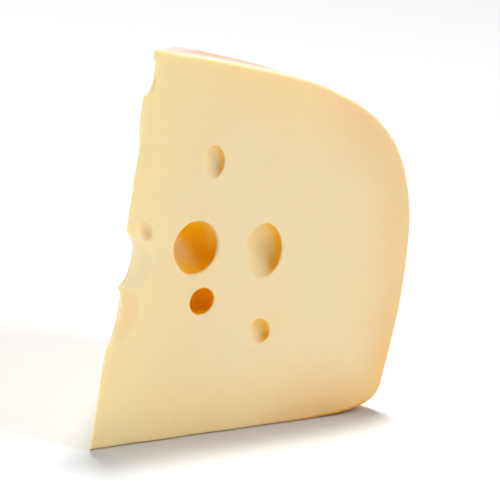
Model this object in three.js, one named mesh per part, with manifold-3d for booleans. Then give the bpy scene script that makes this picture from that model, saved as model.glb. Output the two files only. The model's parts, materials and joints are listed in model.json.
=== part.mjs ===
// A wedge of maasdam cheese: about a tenth of a domed wheel, cut from its centre to its rind.
// Millimetres, +Z up. It stands on the wheel's flat underside. One cut faces -Y, with the
// wedge's point at its left and the rind at its right. The other cut is turned from it, about
// the upright edge at the point, by the wedge's angle. The origin is the middle of the wedge's
// box, at the height of the surface that it stands on.

import * as THREE from "three";
import { mergeVertices } from "three/addons/utils/BufferGeometryUtils.js";
import Module from "manifold-3d";

const wasm = await Module();
wasm.setup();

// The wheel that the wedge comes from
const WHEEL_RADIUS = 168; // at the belly, where the wheel is widest
const CROWN_HEIGHT = 148; // in the middle of the wheel, which gas has domed
const BELLY_HEIGHT = 0.31 * CROWN_HEIGHT; // low down, because the cheese sags as it ripens
const FLAT_RADIUS = 0.7 * WHEEL_RADIUS; // of the underside that lies on the shelf

// Where the dome turns into the shoulder, and how steeply it falls there and at the crown
const SHOULDER_RADIUS = 0.748 * WHEEL_RADIUS;
const SHOULDER_HEIGHT = 0.815 * CROWN_HEIGHT;
const SHOULDER_FALL = THREE.MathUtils.degToRad(22.5);
const CROWN_FALL = THREE.MathUtils.degToRad(8.5);

// Where the side turns in under the wheel
const HEEL_RADIUS = 0.981 * WHEEL_RADIUS;
const HEEL_HEIGHT = 0.072 * CROWN_HEIGHT;

// How far each curve's handles reach, which sets how full the curve is
const UNDERSIDE_REACH = 0.19 * WHEEL_RADIUS;
const HEEL_REACH = 0.054 * CROWN_HEIGHT;
const SIDE_REACH = 0.081 * CROWN_HEIGHT;
const BELLY_REACH = 0.2 * CROWN_HEIGHT;
const SHOULDER_REACH = 0.23 * WHEEL_RADIUS;
const DOME_REACH = 0.26 * WHEEL_RADIUS;
const CROWN_REACH = 0.3 * WHEEL_RADIUS;
const HEEL_LEAN = THREE.MathUtils.degToRad(86); // of the side above the heel

// The wedge
const WEDGE_ANGLE = THREE.MathUtils.degToRad(34); // cut by eye, a little under a tenth

// Facets
const TURN_STEPS = 180; // round the whole wheel
const CURVE_STEPS = 9; // along each curve of the profile
const EYE_FACET = 2.8; // about the length of an eye's facet

// The gas eyes that the cuts opened. along is the distance from the wedge's point, up the
// height, width and height the size of the mouth, reach the depth, and sink how far the
// eye's middle lies behind the cut: an eye cut through its near side has a deep pocket behind
// a narrow mouth, and one whose middle was cut away is a shallow dish. tilt turns the mouth
// in the plane of the cut, in degrees. lean makes one side steep and lets the other run out,
// and steep is the way to the steep side, from level towards the rind, also in degrees.
const FRONT_EYES = [
  { along: 41.8, up: 72.6, width: 25.4, height: 19.3, reach: 11.5, sink: 0, tilt: -14, lean: 30, steep: 30 },
  { along: 50.2, up: 51.8, width: 12.4, height: 9.5, reach: 10, sink: 3, tilt: -8 },
  { along: 79, up: 68.9, width: 27, height: 20.6, reach: 5, sink: -1, tilt: -15, lean: 24, steep: 15 },
  { along: 85, up: 38.1, width: 14.5, height: 9.2, reach: 3, sink: -0.7, tilt: -20, lean: 22, steep: 10 },
  { along: 42.4, up: 104.8, width: 16, height: 11.8, reach: 2.6, sink: -0.8, tilt: -30, lean: 22, steep: 10 },
  { along: 5, up: 69.5, width: 28, height: 19.5, reach: 3.6, sink: -1, tilt: -18 },
  { along: 4, up: 50, width: 22.5, height: 18.5, reach: 2.5, sink: -1, tilt: 8 },
  { along: 10.5, up: 80.6, width: 11, height: 8.5, reach: 2.2, sink: -1, tilt: -30, lean: 16 },
];
const BACK_EYES = [
  { along: 4, up: 69, width: 58, height: 22, reach: 3.2, sink: -9, tilt: 13 },
  { along: 2, up: 50, width: 32, height: 19, reach: 1.8, sink: -6, tilt: 13 },
  { along: 3, up: 137.6, width: 14, height: 13, reach: 2, sink: -0.7, tilt: 0 },
  { along: 24, up: 108, width: 23, height: 27, reach: 6, sink: -5, tilt: 0 },
  { along: 61, up: 90, width: 23, height: 19, reach: 17, sink: 4.5, tilt: 12 },
  { along: 98, up: 54, width: 26, height: 21, reach: 19, sink: 5, tilt: -10 },
  { along: 61, up: 41, width: 17, height: 14, reach: 6.5, sink: -3, tilt: 18 },
  { along: 120, up: 91, width: 12, height: 10, reach: 9, sink: 2.5, tilt: 5 },
  { along: 93, up: 104, width: 10, height: 8.5, reach: 4, sink: -1.5, tilt: 0 },
  { along: 134, up: 50, width: 9.5, height: 8.5, reach: 3.8, sink: -1.5, tilt: 0 },
];

const PASTE = new THREE.MeshStandardMaterial({ color: 0xf0d8a4, roughness: 0.5, metalness: 0 });

// A closed three.js geometry as a solid.
function solidOf(geometry) {
  geometry.deleteAttribute("normal");
  geometry.deleteAttribute("uv");
  const merged = mergeVertices(geometry, 1e-4);
  const mesh = new wasm.Mesh({
    numProp: 3,
    vertProperties: merged.attributes.position.array,
    triVerts: new Uint32Array(merged.index.array),
  });
  return new wasm.Manifold(mesh);
}

// A solid as a three.js geometry.
function geometryOf(solid) {
  const mesh = solid.getMesh();
  const geometry = new THREE.BufferGeometry();
  geometry.setAttribute("position", new THREE.BufferAttribute(mesh.vertProperties, 3));
  geometry.setIndex(new THREE.BufferAttribute(mesh.triVerts, 1));
  geometry.computeVertexNormals();
  return geometry;
}

// A point that lies a distance from another, at an angle above the outward direction.
function handle([x, y], angle, distance) {
  return [x + distance * Math.cos(angle), y + distance * Math.sin(angle)];
}

// Half of the wheel's section: flat underside, heel, bellied side, shoulder and dome.
function wheelProfile() {
  const heel = [HEEL_RADIUS, HEEL_HEIGHT];
  const belly = [WHEEL_RADIUS, BELLY_HEIGHT];
  const shoulder = [SHOULDER_RADIUS, SHOULDER_HEIGHT];
  const crown = [0, CROWN_HEIGHT];
  const profile = new THREE.Path();
  profile.moveTo(0, 0);
  profile.lineTo(FLAT_RADIUS, 0);
  profile.bezierCurveTo(
    FLAT_RADIUS + UNDERSIDE_REACH, 0,
    ...handle(heel, HEEL_LEAN - Math.PI, HEEL_REACH),
    ...heel,
  );
  profile.bezierCurveTo(
    ...handle(heel, HEEL_LEAN, SIDE_REACH),
    ...handle(belly, -Math.PI / 2, SIDE_REACH),
    ...belly,
  );
  profile.bezierCurveTo(
    ...handle(belly, Math.PI / 2, BELLY_REACH),
    ...handle(shoulder, -SHOULDER_FALL, SHOULDER_REACH),
    ...shoulder,
  );
  profile.bezierCurveTo(
    ...handle(shoulder, Math.PI - SHOULDER_FALL, DOME_REACH),
    ...handle(crown, -CROWN_FALL, CROWN_REACH),
    ...crown,
  );
  return profile.getPoints(CURVE_STEPS);
}

// The whole wheel, turned by half a facet so that no facet's edge lies on a cut.
function wheel() {
  const geometry = new THREE.LatheGeometry(wheelProfile(), TURN_STEPS, Math.PI / TURN_STEPS);
  geometry.rotateX(Math.PI / 2);
  return solidOf(geometry);
}

// Everything between the two cuts, as high as the wheel and further out than it.
function betweenCuts() {
  const beyond = 2 * WHEEL_RADIUS;
  const outline = new THREE.Shape();
  outline.moveTo(0, 0);
  outline.lineTo(beyond, 0);
  outline.lineTo(beyond, beyond * Math.tan(WEDGE_ANGLE));
  const geometry = new THREE.ExtrudeGeometry(outline, {
    depth: 2 * CROWN_HEIGHT,
    bevelEnabled: false,
  });
  geometry.translate(0, 0, -CROWN_HEIGHT / 2);
  return solidOf(geometry);
}

// One eye: an ellipsoid that the cut in the XZ plane opens to the given mouth.
// The cheese lies on the +Y side of the cut.
function eye({ along, up, width, height, reach, sink, tilt, lean = 0, steep = 0 }) {
  const halfDepth = reach - sink;
  const mouthShare = Math.sqrt(1 - (sink / halfDepth) ** 2);
  const longest = Math.max(width, height) / mouthShare;
  const rings = Math.round(Math.PI * longest / 2 / EYE_FACET);
  const way = THREE.MathUtils.degToRad(steep);
  const hinge = new THREE.Vector3(-Math.sin(way), 0, Math.cos(way));
  const swing = new THREE.Matrix4().makeRotationAxis(hinge, THREE.MathUtils.degToRad(lean));
  const geometry = new THREE.SphereGeometry(1, 2 * rings, rings);
  geometry.scale(width / 2 / mouthShare, halfDepth, height / 2 / mouthShare);
  geometry.rotateY(THREE.MathUtils.degToRad(-tilt));
  geometry.applyMatrix4(swing);
  geometry.translate(along, sink, up);
  return geometry;
}

// The same eye in the other cut: turned half round, because the cheese is on that cut's other
// side, and then swung to the cut.
function backEye(place) {
  const geometry = eye(place);
  geometry.rotateZ(Math.PI);
  geometry.translate(2 * place.along, 0, 0);
  geometry.rotateZ(WEDGE_ANGLE);
  return geometry;
}

// The wedge with its eyes taken out.
function wedge() {
  const eyes = [...FRONT_EYES.map(eye), ...BACK_EYES.map(backEye)];
  return eyes.reduce(
    (solid, geometry) => solid.subtract(solidOf(geometry)),
    wheel().intersect(betweenCuts()),
  );
}

const group = new THREE.Group();
const cheese = new THREE.Mesh(geometryOf(wedge()), PASTE);
cheese.name = "cheese_wedge";
cheese.geometry.computeBoundingBox();
const middle = cheese.geometry.boundingBox.getCenter(new THREE.Vector3());
cheese.position.set(-middle.x, -middle.y, 0);
group.add(cheese);

export default group;
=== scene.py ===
# A wedge of maasdam cheese, finished around its frame: paste with gas eyes in both cuts, a waxed
# rind, a plain floor, soft studio light and a camera at the photograph's angle. Metres, +Z up.

import json
import math

import bpy
import numpy as np
from bpy.props import FloatProperty, FloatVectorProperty, IntProperty, PointerProperty
from mathutils import Matrix, Vector

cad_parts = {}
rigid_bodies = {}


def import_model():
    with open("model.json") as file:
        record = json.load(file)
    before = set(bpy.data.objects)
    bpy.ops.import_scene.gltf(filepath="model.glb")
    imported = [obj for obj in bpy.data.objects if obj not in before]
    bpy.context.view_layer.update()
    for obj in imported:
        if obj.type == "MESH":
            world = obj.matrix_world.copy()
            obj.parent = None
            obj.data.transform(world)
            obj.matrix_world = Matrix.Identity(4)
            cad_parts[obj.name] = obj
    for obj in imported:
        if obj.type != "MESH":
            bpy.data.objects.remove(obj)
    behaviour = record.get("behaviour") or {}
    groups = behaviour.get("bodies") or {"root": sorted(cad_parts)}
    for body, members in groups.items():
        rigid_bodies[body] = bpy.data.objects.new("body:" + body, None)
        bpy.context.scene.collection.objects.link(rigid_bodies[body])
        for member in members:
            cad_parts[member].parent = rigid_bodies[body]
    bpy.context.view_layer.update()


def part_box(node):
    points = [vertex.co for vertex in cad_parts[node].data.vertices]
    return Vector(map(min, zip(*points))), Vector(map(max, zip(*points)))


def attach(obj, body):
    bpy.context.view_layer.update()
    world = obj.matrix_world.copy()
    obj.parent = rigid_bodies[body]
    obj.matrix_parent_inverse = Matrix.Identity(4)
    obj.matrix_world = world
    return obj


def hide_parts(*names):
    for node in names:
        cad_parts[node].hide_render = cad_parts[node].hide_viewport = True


bl_info = {
    "name": "Maasdam cheese wedge",
    "version": (1, 0, 0),
    "blender": (4, 5, 0),
    "location": "View3D > Sidebar > Cheese",
    "description": "Models a wedge of maasdam with gas eyes and a waxed rind, and a stage for it",
    "category": "Mesh",
}

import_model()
NODE = "cheese_wedge"
MM = 0.001

# Points that are closer than this, in metres, are one point
TOUCHING = 1e-6

# The wedge's point stands at the box's lowest X and Y, and its near cut lies along +X from there
BOX_LOW, BOX_HIGH = (Vector(corner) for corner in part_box(NODE))
POINT = Vector((BOX_LOW.x, BOX_LOW.y, 0))
LENGTH, WIDTH, HEIGHT = BOX_HIGH - BOX_LOW

# The gas eyes that the cuts opened, in millimetres and degrees. along is the distance from the
# wedge's point, up the height, width and height the size of the mouth, reach the depth, and sink
# how far the eye's middle lies behind the cut. tilt turns the mouth in the plane of the cut. lean
# makes one side steep and lets the other run out, and steep is the way to the steep side, from
# level towards the rind. An eye with a gold is so near the point that its wall is painted pale, as
# painted light coming through it, and gold is how golden its middle stays, as painted shade.
NEAR_EYES = [
    dict(along=41.8, up=72.6, width=25.4, height=19.3, reach=11.5, sink=0, tilt=-14, lean=30, steep=30),
    dict(along=50.2, up=51.8, width=12.4, height=9.5, reach=10, sink=3, tilt=-8),
    dict(along=79, up=68.9, width=27, height=20.6, reach=5, sink=-1, tilt=-15, lean=24, steep=15),
    dict(along=85, up=38.1, width=14.5, height=9.2, reach=3, sink=-0.7, tilt=-20, lean=22, steep=10),
    dict(along=42.4, up=104.8, width=16, height=11.8, reach=2.6, sink=-0.8, tilt=-30, lean=22, steep=10),
    dict(along=5.5, up=70, width=29, height=19.5, reach=3.6, sink=-1, tilt=-18, gold=0.25),
    dict(along=4.5, up=49.7, width=24, height=21.5, reach=2.7, sink=-1, tilt=8, gold=0.65),
    dict(along=10.5, up=80.8, width=11, height=7.2, reach=1.8, sink=-1, tilt=-30, lean=20, gold=0.5),
]
FAR_EYES = [
    dict(along=4, up=70.6, width=58, height=22.5, reach=3.3, sink=-9, tilt=13),
    dict(along=2, up=50.2, width=32, height=26, reach=2.3, sink=-6, tilt=13),
    dict(along=3, up=137.6, width=14, height=13, reach=2, sink=-0.7, tilt=0),
    dict(along=24, up=108, width=23, height=27, reach=6, sink=-5, tilt=0),
    dict(along=61, up=90, width=23, height=19, reach=17, sink=4.5, tilt=12),
    dict(along=98, up=54, width=26, height=21, reach=19, sink=5, tilt=-10),
    dict(along=61, up=41, width=17, height=14, reach=6.5, sink=-3, tilt=18),
    dict(along=120, up=91, width=12, height=10, reach=9, sink=2.5, tilt=5),
    dict(along=93, up=104, width=10, height=8.5, reach=4, sink=-1.5, tilt=0),
    dict(along=134, up=50, width=9.5, height=8.5, reach=3.8, sink=-1.5, tilt=0),
]
EYES = [(eye, False) for eye in NEAR_EYES] + [(eye, True) for eye in FAR_EYES]

# How fast an eye closes round its walls as it gets deeper for the size of its mouth
CLOSING = 2.5

# An eye that leans is painted paler, as painted light, on the side that the light falls on: this
# way from its middle, down, into the cheese and towards the point. The painted light begins and is
# full at these distances, as shares of its width.
PAINTED_LIGHT_SIDE = (-0.42, 0.55, -0.72)
PAINTED_LIGHT_FROM, PAINTED_LIGHT_TO = 0.05, 0.3

# A point this close to an eye's wall is on it, and one this far away is on none. The wall begins
# over the depth of the lip behind the cut.
ON_WALL, OFF_WALL, LIP = 0.6 * MM, 1.4 * MM, 0.6 * MM

# A face is rind where it lies less than this depth under the wheel's outline, and by this margin
# farther behind the nearer cut than that
RIND_DEPTH, CUT_MARGIN = 1.9 * MM, 0.3 * MM


# Colours and nodes

def linear(hex_colour):
    """An sRGB hex colour as linear red, green, blue and alpha."""
    shares = [int(hex_colour[i:i + 2], 16) / 255 for i in (1, 3, 5)]
    return [s / 12.92 if s <= 0.04045 else ((s + 0.055) / 1.055) ** 2.4 for s in shares] + [1.0]


def colour_property(name, description, hex_colour):
    return FloatVectorProperty(
        name=name, description=description, subtype="COLOR", size=4, min=0, max=1,
        default=linear(hex_colour),
    )


class WedgeShape(bpy.types.PropertyGroup):
    radius: FloatProperty(
        name="Wheel radius", description="Of the wheel, at its widest",
        default=LENGTH, unit="LENGTH",
    )
    crown: FloatProperty(
        name="Crown height", description="Of the domed wheel, in its middle",
        default=HEIGHT, unit="LENGTH",
    )
    angle: FloatProperty(
        name="Wedge angle", description="Between the two cuts",
        default=math.asin(WIDTH / LENGTH), subtype="ANGLE",
    )
    grain: FloatProperty(
        name="Remesh size", description="Size of the cubes that the surface is rebuilt from",
        default=0.5 * MM, unit="LENGTH", precision=5,
    )
    triangles: IntProperty(
        name="Triangles", description="The most that the finished mesh has", default=190000,
    )


class PasteColours(bpy.types.PropertyGroup):
    cream: colour_property("Cream", "Most of a fresh cut", "#F3DFB4")
    fat: colour_property("Fat", "Patches of the cut that are a little yellower", "#F3DCAB")
    # Painted light: the margin is painted lighter than the cut, to make up for the shade along the crown
    # and the underside
    margin: colour_property("Margin", "The paste along the crown and the underside", "#FCDCA2")
    outer: colour_property("Outer", "The drier paste towards the belly", "#F1D19A")
    # Painted light: thin and pale are painted paler than the cut, for the light that glows through the
    # thin point and the eye walls there
    thin: colour_property("Thin", "The thin paste at the wedge's point", "#FFE3AA")
    pale: colour_property("Pale", "The wall of an eye at the point, which lets light through", "#FFE7BC")
    # Painted shade: wall and deep paint the eyes gold and then orange, for their shade and the orange
    # bounce light in them
    wall: colour_property("Eye wall", "The wall of a shallow eye", "#F8C03C")
    deep: colour_property("Eye depth", "The wall of a deep eye", "#FCB004")
    golden: colour_property("Golden", "The paste by the rind at the heel", "#F0C888")
    edge: colour_property("Rind line", "The thin line of rind round the cut", "#E8BF90")
    heel: colour_property("Heel line", "The same line at the heel, where it is thicker", "#F2A83C")


class RindColours(bpy.types.PropertyGroup):
    wax: colour_property("Wax", "The wax over most of the rind", "#FF9F10")
    thick: colour_property("Thick wax", "Where the wax has run together", "#F78C00")
    worn: colour_property("Worn wax", "Where the wax is thin or rubbed", "#FFB64A")
    # Painted highlight: this colour paints the crown's wax beside the cuts pale pink, for the white
    # reflection of the glossy wax at a grazing angle
    painted_highlight: colour_property("Lifted wax", "Beside the cuts on the crown, by the knife", "#FFE6D2")


class StageSetting(bpy.types.PropertyGroup):
    azimuth: FloatProperty(
        name="Azimuth", description="Of the camera, from straight before the near cut",
        default=math.radians(-51.3), subtype="ANGLE",
    )
    elevation: FloatProperty(
        name="Elevation", description="Of the camera above the floor",
        default=math.radians(12.9), subtype="ANGLE",
    )
    roll: FloatProperty(
        name="Roll", description="Of the camera, which makes the wedge lean to the right",
        default=math.radians(9.7), subtype="ANGLE",
    )
    distance: FloatProperty(
        name="Distance", description="From the camera to the near cut",
        default=2.045, unit="LENGTH",
    )
    lens: FloatProperty(
        name="Lens", description="Focal length on a 36 mm sensor",
        default=405, unit="CAMERA",
    )
    floor: colour_property("Floor", "The plain floor", "#D3D3D3")


def add_node(tree, kind, settings=None, inputs=None):
    """Add a node, set its settings, and set or link its inputs by name or number."""
    node = tree.nodes.new(kind)
    for name, value in (settings or {}).items():
        setattr(node, name, value)
    for key, value in (inputs or {}).items():
        if isinstance(value, bpy.types.NodeSocket):
            tree.links.new(value, node.inputs[key])
        else:
            node.inputs[key].default_value = value
    return node


# Modelling helpers

def deselect_all():
    bpy.ops.object.select_all(action="DESELECT")


def make_active(thing):
    deselect_all()
    thing.select_set(True)
    bpy.context.view_layer.objects.active = thing


def apply_modifier(thing, kind, **settings):
    """Add a modifier with its settings and apply it."""
    make_active(thing)
    modifier = thing.modifiers.new(kind.title(), kind)
    for name, value in settings.items():
        setattr(modifier, name, value)
    bpy.ops.object.modifier_apply(modifier=modifier.name)


def displace(thing, group, name, size, height, middle=1.0, direction="NORMAL"):
    """Move points by a cloudy noise of this size and height. With its middle at 1 the noise
    only sinks them, and a vertex group, where given, says which points and how far."""
    clouds = bpy.data.textures.new(name, "CLOUDS")
    clouds.noise_scale = size
    clouds.noise_depth = 1
    apply_modifier(
        thing, "DISPLACE", texture=clouds, texture_coords="LOCAL", strength=height,
        mid_level=middle, direction=direction, vertex_group=group.name if group else "",
    )
    bpy.data.textures.remove(clouds)


def points_of(mesh):
    flat = np.empty(len(mesh.vertices) * 3)
    mesh.vertices.foreach_get("co", flat)
    return flat.reshape(-1, 3)


# The wedge

def section_knots(shape):
    """The knots of half the wheel's section: radius, height, heading in degrees and the
    distances to the two handles. They run along the flat underside, round the heel, up the
    bellied side and over the shoulder to the middle of the crown, in the shares of the wheel's
    radius and height that the photographed cut has."""
    radius, crown = shape.radius, shape.crown
    flat = 0.7 * radius
    return [
        (0, 0, 0, 0, flat / 3),
        (flat, 0, 0, flat / 3, 0.19 * radius),
        (0.981 * radius, 0.072 * crown, 86, 0.054 * crown, 0.081 * crown),
        (radius, 0.31 * crown, 90, 0.081 * crown, 0.2 * crown),
        (0.748 * radius, 0.815 * crown, 157.5, 0.23 * radius, 0.26 * radius),
        (0, crown, 171.5, 0.3 * radius, 0),
    ]


def draw_section(shape):
    """Draw half of the wheel's section in the near cut's plane, as a mesh of edges."""
    bpy.ops.curve.primitive_bezier_curve_add(location=POINT)
    drawn = bpy.context.object
    drawn.data.resolution_u = 24
    spline = drawn.data.splines[0]
    knots = section_knots(shape)
    spline.bezier_points.add(len(knots) - len(spline.bezier_points))
    for point, (out, up, heading, before, after) in zip(spline.bezier_points, knots):
        way = Vector((math.cos(math.radians(heading)), 0, math.sin(math.radians(heading))))
        point.handle_left_type = point.handle_right_type = "FREE"
        point.co = Vector((out, 0, up))
        point.handle_left = point.co - before * way
        point.handle_right = point.co + after * way
    bpy.ops.object.convert(target="MESH")
    bpy.ops.object.transform_apply(location=True)
    return bpy.context.object


def distance_to_section(radius, height, section):
    """The distance from points to the section's line, all as radius and height."""
    nearest = np.full(len(radius), np.inf)
    for (r0, z0), (r1, z1) in zip(section[:-1], section[1:]):
        length = math.hypot(r1 - r0, z1 - z0)
        if length < TOUCHING / 1000:
            continue
        share = ((radius - r0) * (r1 - r0) + (height - z0) * (z1 - z0)) / length ** 2
        share = np.clip(share, 0, 1)
        gap = np.hypot(radius - r0 - share * (r1 - r0), height - z0 - share * (z1 - z0))
        nearest = np.minimum(nearest, gap)
    return nearest


def fill_cut(wedge, normal):
    """Close the cut that passes through the wedge's point and has this normal."""
    bpy.ops.object.mode_set(mode="OBJECT")
    for part in (wedge.data.vertices, wedge.data.edges, wedge.data.polygons):
        part.foreach_set("select", [False] * len(part))
    for vertex in wedge.data.vertices:
        vertex.select = abs((vertex.co - POINT).dot(normal)) < TOUCHING
    bpy.ops.object.mode_set(mode="EDIT")
    bpy.ops.mesh.select_mode(type="VERT")
    bpy.ops.mesh.edge_face_add()


def spin_wedge(shape):
    """Spin the section between the two cuts and close both."""
    wedge = draw_section(shape)
    section = [(point[0] - POINT.x, point[2]) for point in points_of(wedge.data)]
    bpy.ops.object.mode_set(mode="EDIT")
    bpy.ops.mesh.select_all(action="SELECT")
    bpy.ops.mesh.spin(steps=30, angle=-shape.angle, center=POINT, axis=(0, 0, 1))
    bpy.ops.mesh.select_all(action="SELECT")
    bpy.ops.mesh.remove_doubles(threshold=TOUCHING)
    fill_cut(wedge, Vector((0, 1, 0)))
    fill_cut(wedge, far_normal(shape))
    bpy.ops.mesh.select_all(action="SELECT")
    bpy.ops.mesh.normals_make_consistent(inside=False)
    bpy.ops.object.mode_set(mode="OBJECT")
    return wedge, section


def far_normal(shape):
    """The far cut's normal, pointing into the cheese."""
    return Vector((math.sin(shape.angle), -math.cos(shape.angle), 0))


def eye_form(eye, far, shape):
    """The middle, turn and half sizes of the ellipsoid that one gas eye is. Its mouth has the
    listed size, and the ellipsoid is wider than that where the cut doesn't pass its middle."""
    half_depth = eye["reach"] - eye["sink"]
    mouth_share = math.sqrt(1 - (eye["sink"] / half_depth) ** 2)
    half_width = eye["width"] / 2 / mouth_share
    half_height = eye["height"] / 2 / mouth_share
    half_sizes = Vector((half_width, half_depth, half_height))
    swing = shape.angle if far else 0
    depth = -eye["sink"] if far else eye["sink"]
    middle = Matrix.Rotation(swing, 3, "Z") @ Vector((eye["along"], depth, eye["up"]))
    facing = Matrix.Rotation(swing + math.pi if far else 0, 3, "Z")
    way = math.radians(eye.get("steep", 0))
    hinge = Vector((-math.sin(way), 0, math.cos(way)))
    lean = Matrix.Rotation(math.radians(eye.get("lean", 0)), 3, hinge)
    turn = facing @ lean @ Matrix.Rotation(-math.radians(eye["tilt"]), 3, "Y")
    return POINT + MM * middle, turn, MM * half_sizes


def add_eye(eye, far, shape):
    """Add a solid in the shape of one gas eye. Its wall wanders by 3.5% of the eye's height."""
    middle, turn, half_sizes = eye_form(eye, far, shape)
    bpy.ops.mesh.primitive_uv_sphere_add(
        segments=72, ring_count=36, radius=1, location=middle, rotation=turn.to_euler(),
        scale=half_sizes,
    )
    solid = bpy.context.object
    bpy.ops.object.transform_apply(location=True, rotation=True, scale=True)
    displace(solid, None, "uneven eye", 11 * MM, 0.035 * MM * eye["height"], middle=0.5)
    return solid


def open_eyes(wedge, shape):
    """Take the gas eyes out of the wedge."""
    eyes = bpy.data.collections.new("gas eyes")
    bpy.context.scene.collection.children.link(eyes)
    for eye, far in EYES:
        solid = add_eye(eye, far, shape)
        for holder in solid.users_collection:
            holder.objects.unlink(solid)
        eyes.objects.link(solid)
    apply_modifier(
        wedge, "BOOLEAN", operation="DIFFERENCE", operand_type="COLLECTION", collection=eyes,
        solver="MANIFOLD",
    )
    for solid in list(eyes.objects):
        bpy.data.objects.remove(solid)
    bpy.data.collections.remove(eyes)


def thin_out(wedge, most):
    """Turn the mesh into triangles and keep no more than the given number."""
    apply_modifier(wedge, "TRIANGULATE")
    count = len(wedge.data.polygons)
    if count > most:
        apply_modifier(wedge, "DECIMATE", ratio=most / count, use_collapse_triangulate=True)


def smooth_step(value, start, end):
    """0 up to start, 1 from end on, and a smooth rise between them. start may be the larger."""
    share = np.clip((value - start) / (end - start), 0, 1)
    return share * share * (3 - 2 * share)


def weigh(thing, name, weights, steps=20):
    """A vertex group with these weights, rounded to this many steps."""
    group = thing.vertex_groups.new(name=name)
    rounded = np.round(weights * steps).astype(int)
    for step in range(1, steps + 1):
        group.add(np.flatnonzero(rounded == step).tolist(), step / steps, "REPLACE")
    return group


def depths(wedge, section, shape):
    """How far each point lies under the rind, behind the nearer cut and from the edge at the
    wedge's point, and how high it is."""
    places = points_of(wedge.data) - np.array(POINT)
    radius = np.hypot(places[:, 0], places[:, 1])
    under_rind = distance_to_section(radius, places[:, 2], section)
    behind_cut = np.minimum(places[:, 1], places @ np.array(far_normal(shape)))
    return under_rind, np.maximum(behind_cut, 0), radius, places[:, 2]


def roughen(wedge, section, shape):
    """Give the cuts, the edge at the point and the rind the unevenness of the real ones."""
    under_rind, behind_cut, from_point, height = depths(wedge, section, shape)
    behind_near_cut = points_of(wedge.data)[:, 1] - POINT.y

    # The knife's path wanders, but it doesn't dull the edge at the point
    on_cut = smooth_step(behind_cut, 1.5 * MM, 0.5 * MM) * smooth_step(from_point, 3 * MM, 25 * MM)
    cuts = weigh(wedge, "cuts", on_cut)
    displace(wedge, cuts, "hand of the cut", 34 * MM, 0.9 * MM)

    # That edge is worn, from the underside up to the lobe
    worn = smooth_step(from_point, 12 * MM, 3 * MM) * smooth_step(height, 126 * MM, 116 * MM)
    at_point = weigh(wedge, "edge at the point", worn)
    displace(wedge, at_point, "worn edge", 13 * MM, 1.2 * MM, middle=0.3, direction="X")

    # The lobe stands out of the far cut, beside the edge and under the notch near its top
    lobe = smooth_step(from_point, 1.5 * MM, 5 * MM) * smooth_step(from_point, 18 * MM, 9 * MM)
    lobe *= smooth_step(height, 106 * MM, 121 * MM)
    lobe *= smooth_step(height, 133 * MM, 129 * MM)
    lobe *= smooth_step(behind_near_cut, 0.5 * MM, 1.5 * MM)
    swollen = weigh(wedge, "lobe beside the point", lobe)
    displace(wedge, swollen, "swelling", 60 * MM, 2.6 * MM, middle=0)

    # The rind is dented all over but for its lowest millimetres and its corner at the point
    on_rind = smooth_step(under_rind, 1.5 * MM, 0.7 * MM) * smooth_step(height, 1 * MM, 9 * MM)
    on_rind *= smooth_step(from_point, 4 * MM, 20 * MM)
    rind = weigh(wedge, "rind", on_rind)
    displace(wedge, rind, "dents in the rind", 26 * MM, 0.9 * MM, middle=0.8)
    displace(wedge, rind, "lumps in the wax", 7 * MM, 0.3 * MM, middle=0.8)
    wedge.vertex_groups.clear()


def store(mesh, name, values):
    attribute = mesh.attributes.new(name, "FLOAT", "POINT")
    attribute.data.foreach_set("value", values.astype(np.float32))


def nearest_eyes(mesh, shape):
    """What each point has to do with the eye nearest to it: the gap to the eye's wall, how
    steeply the surface falls away from the cut, how closely the eye closes round it, the eye's
    depth, its gold, and how far the point lies on the side of an eye that leans which is painted
    paler, as painted light."""
    places = points_of(mesh)
    normals = np.empty(len(mesh.vertices) * 3)
    mesh.vertex_normals.foreach_get("vector", normals)
    normals = normals.reshape(-1, 3)
    nearest = np.full(len(places), np.inf)
    steep, closed, reach, gold, on_painted_lit_side = np.zeros((5, len(places)))
    for eye, far in EYES:
        middle, turn, half_sizes = eye_form(eye, far, shape)
        offset = places - np.array(middle)
        share = np.linalg.norm(offset @ np.array(turn) / np.array(half_sizes), axis=1)
        gap = np.linalg.norm(offset, axis=1) * np.abs(1 - 1 / share)
        nearer = gap < nearest
        nearest = np.minimum(nearest, gap)
        facing = np.array(far_normal(shape) if far else (0, 1, 0))
        steep[nearer] = 1 - np.clip(-normals[nearer] @ facing, 0, 1)
        closed[nearer] = math.tanh(CLOSING * eye["reach"] / math.sqrt(eye["width"] * eye["height"]))
        reach[nearer] = MM * eye["reach"]
        gold[nearer] = eye.get("gold", 0)
        aside = offset[nearer] @ np.array(PAINTED_LIGHT_SIDE) / (MM * eye["width"])
        on_painted_lit_side[nearer] = smooth_step(aside, PAINTED_LIGHT_FROM, PAINTED_LIGHT_TO) * ("lean" in eye)
    return nearest, steep, closed, reach, gold, on_painted_lit_side


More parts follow.
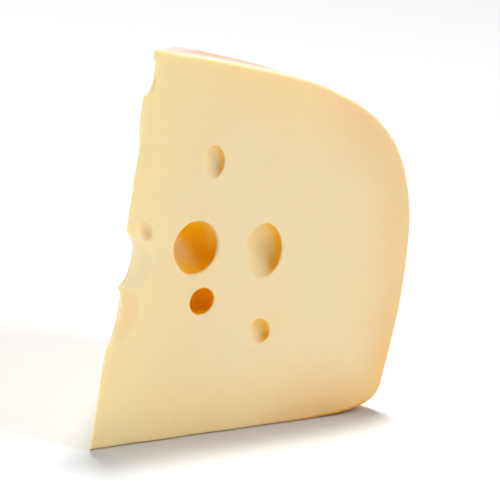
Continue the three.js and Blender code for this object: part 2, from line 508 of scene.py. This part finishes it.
def walls_of_eyes(mesh, behind_cut, shape):
    """How closely an eye's walls surround each point, from 0 on a cut to 1 deep in a deep eye, which
    sets the painted shade and orange bounce light in the eyes, and how much painted light comes
    through the wall of an eye at the wedge's point. The powers and shares were matched to how the
    photographed eyes go from cream to orange."""
    nearest, steep, closed, reach, gold, on_painted_lit_side = nearest_eyes(mesh, shape)
    steep = steep ** 0.8

    # The side that the light falls on is painted paler than the rest, as painted light: almost as pale
    # as the cut in a shallow eye, and still golden in a deep one
    closed *= 1 - on_painted_lit_side * (0.9 - 0.65 * closed)

    # A wall counts as enclosed, and is painted in shade, by how deep it lies for its eye, and where it
    # is steep right from the rim. In an eye with a gold the flat middle counts, and the rest is painted
    # pale, as light coming through it.
    sunk = closed ** 1.5 * np.minimum(1.6 * behind_cut / reach, 1) ** 2
    walled = steep * smooth_step(behind_cut, 0, 0.3 * MM + (1 - steep) * reach ** 2 / (6 * MM))
    open_share = np.where(gold > 0, 1 - gold * (1 - steep), (1 - walled) * (1 - sunk))
    on_eye = smooth_step(nearest, OFF_WALL, ON_WALL) * smooth_step(behind_cut, 0, LIP)
    return on_eye * closed * (1 - open_share), on_eye * (gold > 0) * (0.3 + 0.7 * steep)


def measure_wedge(wedge, section, shape):
    """Store what the colours depend on: how far each point lies under the rind, behind the nearer
    cut and from the edge at the wedge's point, in millimetres, how enclosed it is by an eye, which
    sets the painted shade in the eyes, and how much painted light comes through an eye's wall
    there. Give the rind's faces the rind's slot."""
    under_rind, behind_cut, from_point, _ = depths(wedge, section, shape)
    mesh = wedge.data
    enclosed, lit_through = walls_of_eyes(mesh, behind_cut, shape)
    store(mesh, "under_rind", under_rind / MM)
    store(mesh, "behind_cut", behind_cut / MM)
    store(mesh, "from_point", from_point / MM)
    store(mesh, "enclosure", enclosed)
    store(mesh, "lit_through", lit_through)
    triangles = np.empty(len(mesh.polygons) * 3, dtype=np.int32)
    mesh.polygons.foreach_get("vertices", triangles)
    triangles = triangles.reshape(-1, 3)
    deep = under_rind[triangles].mean(axis=1)
    back = behind_cut[triangles].mean(axis=1)
    is_rind = (deep < RIND_DEPTH) & (back > deep + CUT_MARGIN)
    mesh.polygons.foreach_set("material_index", is_rind.astype(np.int32))


class CHEESE_OT_wedge(bpy.types.Operator):
    """Model the wedge with its eyes, and give its cuts and its rind their materials"""
    bl_idname = "cheese.wedge"
    bl_label = "Model the wedge"

    def execute(self, context):
        scene = context.scene
        shape = scene.cheese_shape
        deselect_all()
        wedge, section = spin_wedge(shape)
        wedge.name = wedge.data.name = "maasdam_wedge"
        apply_modifier(wedge, "REMESH", mode="VOXEL", voxel_size=shape.grain)
        roughen(wedge, section, shape)
        open_eyes(wedge, shape)
        apply_modifier(wedge, "REMESH", mode="VOXEL", voxel_size=shape.grain)
        apply_modifier(wedge, "SMOOTH", factor=0.5, iterations=2)
        thin_out(wedge, shape.triangles)
        wedge.data.materials.clear()
        wedge.data.materials.append(paste_material(scene.cheese_paste))
        wedge.data.materials.append(rind_material(scene.cheese_rind))
        measure_wedge(wedge, section, shape)
        make_active(wedge)
        bpy.ops.object.shade_smooth()
        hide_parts(NODE)
        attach(wedge, "root")
        return {"FINISHED"}


# Materials

# Settings that several nodes share
SMOOTH = {"interpolation_type": "SMOOTHSTEP"}
COLOURS = {"data_type": "RGBA"}
PRODUCT = {"operation": "MULTIPLY"}


def new_material(name):
    """A new material with no nodes yet, and its node tree."""
    material = bpy.data.materials.new(name)
    material.use_nodes = True
    material.node_tree.nodes.clear()
    return material, material.node_tree


def lay_colours(tree, ground, layers):
    """Lay colours over a ground colour, one after the other. Each layer has a value, the amount
    of it where the layer begins to show, the amount where it covers all, and a colour."""
    for value, start, full, colour in layers:
        share = add_node(tree, "ShaderNodeMapRange", SMOOTH, {
            "Value": value, "From Min": start, "From Max": full,
        })
        mixed = add_node(tree, "ShaderNodeMix", COLOURS, {
            "Factor": share.outputs["Result"], "A": ground, "B": colour,
        })
        ground = mixed.outputs["Result"]
    return ground


def both_shares(tree, *ranges):
    """The product of two shares. Each goes from 0 to 1 as its value goes from start to end."""
    first, second = (
        add_node(tree, "ShaderNodeMapRange", SMOOTH, {
            "Value": value, "From Min": start, "From Max": end,
        })
        for value, start, end in ranges
    )
    product = add_node(tree, "ShaderNodeMath", PRODUCT, {
        0: first.outputs["Result"], 1: second.outputs["Result"],
    })
    return product.outputs["Value"]


def lay_rind_line(tree, colour, colours, under, at_heel):
    """Turn the paste golden by the rind at the heel, and end it in a thin line of rind, which is
    0.3 mm wide and 1.4 mm at the heel."""
    by_rind = add_node(tree, "ShaderNodeMapRange", SMOOTH, {
        "Value": under, "From Min": 16, "From Max": 1,
    })
    golden = add_node(tree, "ShaderNodeMath", PRODUCT, {
        0: by_rind.outputs["Result"], 1: at_heel,
    })
    gilded = add_node(tree, "ShaderNodeMix", COLOURS, {
        "Factor": golden.outputs["Value"], "A": colour, "B": colours.golden,
    })
    width = add_node(tree, "ShaderNodeMapRange", None, {
        "Value": at_heel, "To Min": 0.3, "To Max": 1.4,
    })
    within = add_node(tree, "ShaderNodeMath", {"operation": "SUBTRACT"}, {
        0: width.outputs["Result"], 1: under,
    })
    line = add_node(tree, "ShaderNodeMix", COLOURS, {
        "Factor": at_heel, "A": colours.edge, "B": colours.heel,
    })
    return lay_colours(tree, gilded.outputs["Result"], [
        (within.outputs["Value"], -0.5, 0.3, line.outputs["Result"]),
    ])


def paste_material(colours):
    """Semi-hard cheese paste, cut by hand. It is dense and slightly translucent, so a cut is even
    and soft. Its thin edge and the eye walls at the point are painted pale, as painted light glowing
    through them, its eyes are painted gold to orange, as painted shade and orange bounce light, and
    along the crown and the underside it is painted lighter, to make up for the shade there."""
    material, tree = new_material("Semi-hard cheese paste")
    under, from_point, enclosed, lit_through = (
        add_node(tree, "ShaderNodeAttribute", {"attribute_name": name}).outputs["Fac"]
        for name in ("under_rind", "from_point", "enclosure", "lit_through")
    )
    place = add_node(tree, "ShaderNodeTexCoord").outputs["Object"]
    height = add_node(tree, "ShaderNodeSeparateXYZ", None, {"Vector": place}).outputs["Z"]

    # The fat lies in patches about 30 mm wide. The depths and distances are in millimetres.
    clouds = add_node(tree, "ShaderNodeTexNoise", None, {
        "Vector": place, "Scale": 1 / (30 * MM), "Detail": 3,
    })
    # Along the rind the paste is painted lighter, as painted light that makes up for the shade at the
    # crown and the underside, and turns darker and drier towards the belly
    margin = lay_colours(tree, colours.margin, [(from_point, 85, 135, colours.outer)])
    colour = lay_colours(tree, colours.cream, [
        (clouds.outputs["Fac"], 0.3, 0.7, colours.fat),
        (under, 34, 3, margin),
        # Painted light: paler towards the thin point and on the eye walls there, for the light that
        # glows through them
        (from_point, 50, 5, colours.thin),
        (lit_through, 0.02, 0.3, colours.pale),
        # Painted shade: the eyes go gold and then orange with how enclosed their walls are
        (enclosed, 0.03, 0.48, colours.wall),
        (enclosed, 0.42, 0.66, colours.deep),
    ])
    at_heel = both_shares(tree, (height, 60 * MM, 8 * MM), (from_point, 75, 145))
    colour = lay_rind_line(tree, colour, colours, under, at_heel)

    # The grain that a knife leaves is finer than 0.9 mm, and is drawn that coarse so that it shows
    grain = add_node(tree, "ShaderNodeTexNoise", None, {
        "Vector": place, "Scale": 1 / (0.9 * MM), "Detail": 3,
    })
    bump = add_node(tree, "ShaderNodeBump", None, {
        "Height": grain.outputs["Fac"], "Strength": 0.12, "Distance": 0.1 * MM,
    })
    shader = add_node(tree, "ShaderNodeBsdfPrincipled", None, {
        "Base Color": colour, "Roughness": 0.48, "IOR": 1.44,
        "Subsurface Weight": 0.6, "Subsurface Radius": (1.0, 0.65, 0.3),
        "Subsurface Scale": 3 * MM, "Specular IOR Level": 0.15, "Normal": bump.outputs["Normal"],
    })
    add_node(tree, "ShaderNodeOutputMaterial", None, {"Surface": shader.outputs["BSDF"]})
    return material


def rind_material(colours):
    """Paraffin cheese wax over the rind. It is brushed on warm, so it is glossy and uneven: deep
    orange where it has run together, and paler where it is thin or has been rubbed. Beside the cuts
    on the crown it is painted pale pink, as a painted highlight."""
    material, tree = new_material("Paraffin cheese wax")
    place = add_node(tree, "ShaderNodeTexCoord").outputs["Object"]
    height = add_node(tree, "ShaderNodeSeparateXYZ", None, {"Vector": place}).outputs["Z"]
    behind = add_node(tree, "ShaderNodeAttribute", {"attribute_name": "behind_cut"}).outputs["Fac"]

    # The wax is thick and thin in patches about 34 mm wide
    clouds = add_node(tree, "ShaderNodeTexNoise", None, {
        "Vector": place, "Scale": 1 / (34 * MM), "Detail": 5, "Roughness": 0.6,
    })
    waxed = lay_colours(tree, colours.wax, [
        (clouds.outputs["Fac"], 0.52, 0.68, colours.worn),
        (clouds.outputs["Fac"], 0.46, 0.34, colours.thick),
    ])
    # Painted highlight: the crown's wax beside the cuts is painted pale pink, for the white reflection
    # of the glossy wax at a grazing angle
    painted_highlight = both_shares(tree, (behind, 13, 4), (height, 80 * MM, 112 * MM))
    colour = add_node(tree, "ShaderNodeMix", COLOURS, {
        "Factor": painted_highlight, "A": waxed, "B": colours.painted_highlight,
    }).outputs["Result"]

    # The brush's strokes are about 22 mm long and 3 mm wide, and run a little askew
    strokes = add_node(tree, "ShaderNodeMapping", {"vector_type": "POINT"}, {
        "Vector": place, "Rotation": (0.5, 0.3, 0.6), "Scale": (1, 1, 7),
    })
    brush = add_node(tree, "ShaderNodeTexNoise", None, {
        "Vector": strokes.outputs["Vector"], "Scale": 1 / (22 * MM), "Detail": 4,
    })
    bump = add_node(tree, "ShaderNodeBump", None, {
        "Height": brush.outputs["Fac"], "Strength": 0.35, "Distance": 0.6 * MM,
    })
    shader = add_node(tree, "ShaderNodeBsdfPrincipled", None, {
        "Base Color": colour, "Roughness": 0.34, "IOR": 1.44,
        "Subsurface Weight": 0.2, "Subsurface Radius": (1.0, 0.5, 0.15),
        "Subsurface Scale": 3 * MM, "Coat Weight": 0.8, "Coat Roughness": 0.2,
        "Sheen Weight": 0.25, "Sheen Roughness": 0.4,
        "Normal": bump.outputs["Normal"],
    })
    add_node(tree, "ShaderNodeOutputMaterial", None, {"Surface": shader.outputs["BSDF"]})
    return material


def paper_material(colour):
    """White matt paper, as under a still life. Its fibres scatter the light, so the floor is one
    even pale grey without gloss, and shadows lie on it softly."""
    material = bpy.data.materials.new("White matt paper")
    material.use_nodes = True
    shader = material.node_tree.nodes["Principled BSDF"]
    shader.inputs["Base Color"].default_value = colour
    shader.inputs["Roughness"].default_value = 0.9
    shader.inputs["Specular IOR Level"].default_value = 0.2
    return material


# The stage

# The place on the near cut that the camera and the lights look at
AIM = POINT + MM * Vector((71.7, 0, 69.7))

# The studio's grey. The wall's fades into the ceiling's between these heights in the world's
# direction, where 0 is level and 1 straight up.
WALL_LIGHT, CEILING_LIGHT = 0.5, 0.2
WALL_END, CEILING_START = 0.12, 0.4

# The square soft lights. Azimuth, from straight before the near cut towards the rind, and
# elevation are seen from the aim, in degrees. Distance and size are in metres, power in watts.
LIGHT_DISTANCE = 2.4
LIGHTS = [
    dict(name="key", azimuth=40, elevation=50, size=1.2, power=22),
    dict(name="front fill", azimuth=14, elevation=4, size=1.6, power=11),
    dict(name="edge light", azimuth=-98, elevation=12, size=0.8, power=20),
    dict(name="top light", azimuth=132, elevation=78, size=0.4, power=65),
]


def camera_turn(setting):
    """The camera's turn, as a matrix: it looks along -Z and its up is +Y."""
    swing = Matrix.Rotation(setting.azimuth, 3, "Z")
    tip = Matrix.Rotation(math.pi / 2 - setting.elevation, 3, "X")
    return swing @ tip @ Matrix.Rotation(setting.roll, 3, "Z")


def add_light(name, azimuth, elevation, size, power):
    """Add one of the lights, turned to the aim."""
    turn = Matrix.Rotation(math.radians(azimuth), 3, "Z")
    turn = turn @ Matrix.Rotation(math.radians(90 - elevation), 3, "X")
    place = AIM + turn @ Vector((0, 0, LIGHT_DISTANCE))
    bpy.ops.object.light_add(type="AREA", location=place, rotation=turn.to_euler())
    light = bpy.context.object
    light.name = name
    light.data.shape = "SQUARE"
    light.data.size = size
    light.data.energy = power


def studio_world():
    """A white studio wall that fades to a dimmer ceiling."""
    world = bpy.data.worlds.new("White studio")
    world.use_nodes = True
    tree = world.node_tree
    tree.nodes.clear()
    way = add_node(tree, "ShaderNodeTexCoord").outputs["Generated"]
    height = add_node(tree, "ShaderNodeSeparateXYZ", None, {"Vector": way}).outputs["Z"]
    wall, ceiling = ([grey] * 3 + [1.0] for grey in (WALL_LIGHT, CEILING_LIGHT))
    colour = lay_colours(tree, wall, [(height, WALL_END, CEILING_START, ceiling)])
    background = add_node(tree, "ShaderNodeBackground", None, {"Color": colour})
    add_node(tree, "ShaderNodeOutputWorld", None, {"Surface": background.outputs["Background"]})
    return world


class CHEESE_OT_stage(bpy.types.Operator):
    """Set up the floor, the light and the camera"""
    bl_idname = "cheese.stage"
    bl_label = "Set the stage"

    def execute(self, context):
        scene = context.scene
        setting = scene.cheese_stage
        deselect_all()
        bpy.ops.mesh.primitive_plane_add(size=12, location=(0, 0, 0))
        floor = context.object
        floor.name = "floor"
        floor.data.materials.append(paper_material(setting.floor))

        turn = camera_turn(setting)
        bpy.ops.object.camera_add(
            location=AIM + turn @ Vector((0, 0, setting.distance)), rotation=turn.to_euler(),
        )
        camera = context.object
        camera.data.sensor_width = 36
        camera.data.lens = setting.lens
        camera.data.clip_end = 50
        scene.camera = camera

        for light in LIGHTS:
            add_light(**light)
        scene.world = studio_world()
        scene.view_settings.view_transform = "Standard"
        return {"FINISHED"}


class CHEESE_PT_sidebar(bpy.types.Panel):
    bl_label = "Maasdam wedge"
    bl_space_type = "VIEW_3D"
    bl_region_type = "UI"
    bl_category = "Cheese"

    def draw(self, context):
        scene = context.scene
        layout = self.layout
        for title, group, operator in (
            ("Shape", scene.cheese_shape, None),
            ("Paste", scene.cheese_paste, None),
            ("Rind", scene.cheese_rind, CHEESE_OT_wedge),
            ("Stage", scene.cheese_stage, CHEESE_OT_stage),
        ):
            layout.label(text=title)
            for name in group.__annotations__:
                layout.prop(group, name)
            if operator:
                layout.operator(operator.bl_idname)


GROUPS = {
    "cheese_shape": WedgeShape,
    "cheese_paste": PasteColours,
    "cheese_rind": RindColours,
    "cheese_stage": StageSetting,
}
CLASSES = [*GROUPS.values(), CHEESE_OT_wedge, CHEESE_OT_stage, CHEESE_PT_sidebar]


def register():
    for thing in CLASSES:
        bpy.utils.register_class(thing)
    for name, group in GROUPS.items():
        setattr(bpy.types.Scene, name, PointerProperty(type=group))


def unregister():
    for name in GROUPS:
        delattr(bpy.types.Scene, name)
    for thing in reversed(CLASSES):
        bpy.utils.unregister_class(thing)


def main():
    register()
    bpy.ops.cheese.wedge()
    bpy.ops.cheese.stage()


if __name__ == "__main__":
    main()
